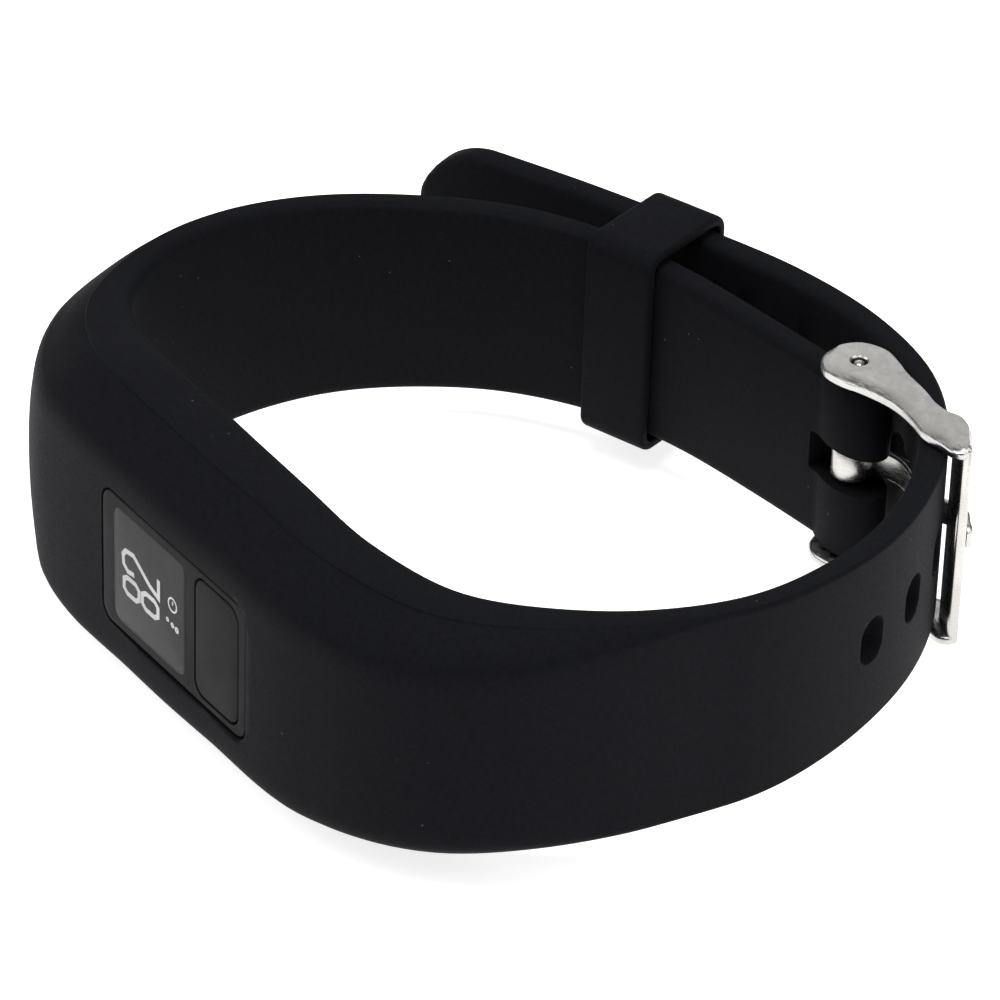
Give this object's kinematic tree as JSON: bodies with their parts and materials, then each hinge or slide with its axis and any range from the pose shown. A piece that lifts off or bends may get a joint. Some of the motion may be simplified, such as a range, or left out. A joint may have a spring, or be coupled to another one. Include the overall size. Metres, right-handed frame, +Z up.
{
  "type": "fitness tracker band",
  "caption": "Slim fitness tracker module in a one-piece silicone wristband, closed into a ring by a pin buckle on a spring bar, with a sliding keeper for the strap's tail.",
  "frame": {"origin": "bottom middle of the bounding box, on the side edge of the band that it lies on", "axes": "+X along the module's face, from the display towards the button; +Y from the module's face through the wrist opening to the buckle side; +Z up across the width of the band"},
  "size_m": [0.073, 0.063, 0.0222],
  "materials": {
    "silicone": "matte moulded silicone",
    "steel": "satin stainless steel",
    "module_plastic": "fine matt",
    "display_window": "smoked, semi-gloss",
    "lcd_glass": "clear glass",
    "gasket_foam": "foam and rubber",
    "circuit_board": "solder mask",
    "chip_plastic": "moulded",
    "cell_steel": "plated",
    "contact_brass": "plain"
  },
  "bodies": {
    "strap": {"band": "silicone", "spring_bar_tube": "steel", "spring_bar_spring": "steel"},
    "keeper": {"keeper_loop": "silicone"},
    "buckle": {"buckle_frame": "steel"},
    "tongue": {"buckle_tongue": "steel"},
    "bar_tip_upper": {"spring_bar_tip_upper": "steel"},
    "bar_tip_lower": {"spring_bar_tip_lower": "steel"},
    "module": {"module_shell": "module_plastic", "display_lens": "display_window", "lens_gasket": "gasket_foam", "lcd_panel": "lcd_glass", "lcd_frame": "module_plastic", "lcd_connector": "gasket_foam", "dome_switch": "contact_brass", "pcb": "circuit_board", "main_chip": "chip_plastic", "radio_chip": "chip_plastic", "accelerometer": "chip_plastic", "crystal": "cell_steel", "antenna": "chip_plastic", "battery_carrier": "module_plastic", "battery_1": "cell_steel", "battery_2": "cell_steel", "battery_terminal_1": "contact_brass", "battery_terminal_2": "contact_brass", "battery_bridge": "contact_brass", "cover_gasket": "silicone", "back_cover": "steel", "cover_screw_1": "steel", "cover_screw_2": "steel", "cover_screw_3": "steel", "cover_screw_4": "steel"},
    "button": {"button_cap": "module_plastic", "button_pad": "silicone"}
  },
  "joints": [
    {"name": "keeper_slide", "type": "slide", "parent": "strap", "child": "keeper", "axis": [0.9483, 0.3173, 0], "range_m": [-0.0018, 0.0024]},
    {"name": "buckle_hinge", "type": "hinge", "parent": "strap", "child": "buckle", "pos_m": [0.01241, 0.02483, 0.01111], "axis": [0, 0, 1], "range_deg": [-1.5, 2]},
    {"name": "tongue_hinge", "type": "hinge", "parent": "buckle", "child": "tongue", "pos_m": [0.01241, 0.02483, 0.01111], "axis": [0, 0, 1], "range_deg": [0, 1.5]},
    {"name": "bar_tip_upper_slide", "type": "slide", "parent": "strap", "child": "bar_tip_upper", "axis": [0, 0, -1], "range_m": [0, 0.001], "stiffness_N_per_m": 400, "springref_m": -0.0005, "deforming": ["spring_bar_spring"]},
    {"name": "bar_tip_lower_slide", "type": "slide", "parent": "strap", "child": "bar_tip_lower", "axis": [0, 0, 1], "range_m": [0, 0.001], "stiffness_N_per_m": 400, "springref_m": -0.0005},
    {"name": "module_release", "type": "slide", "parent": "strap", "child": "module", "axis": [0, 1, 0], "range_m": [0, 0.0095]},
    {"name": "button_press", "type": "slide", "parent": "module", "child": "button", "axis": [0, 1, 0], "range_m": [0, 0.00025], "stiffness_N_per_m": 6400, "springref_m": -0.00005}
  ]
}
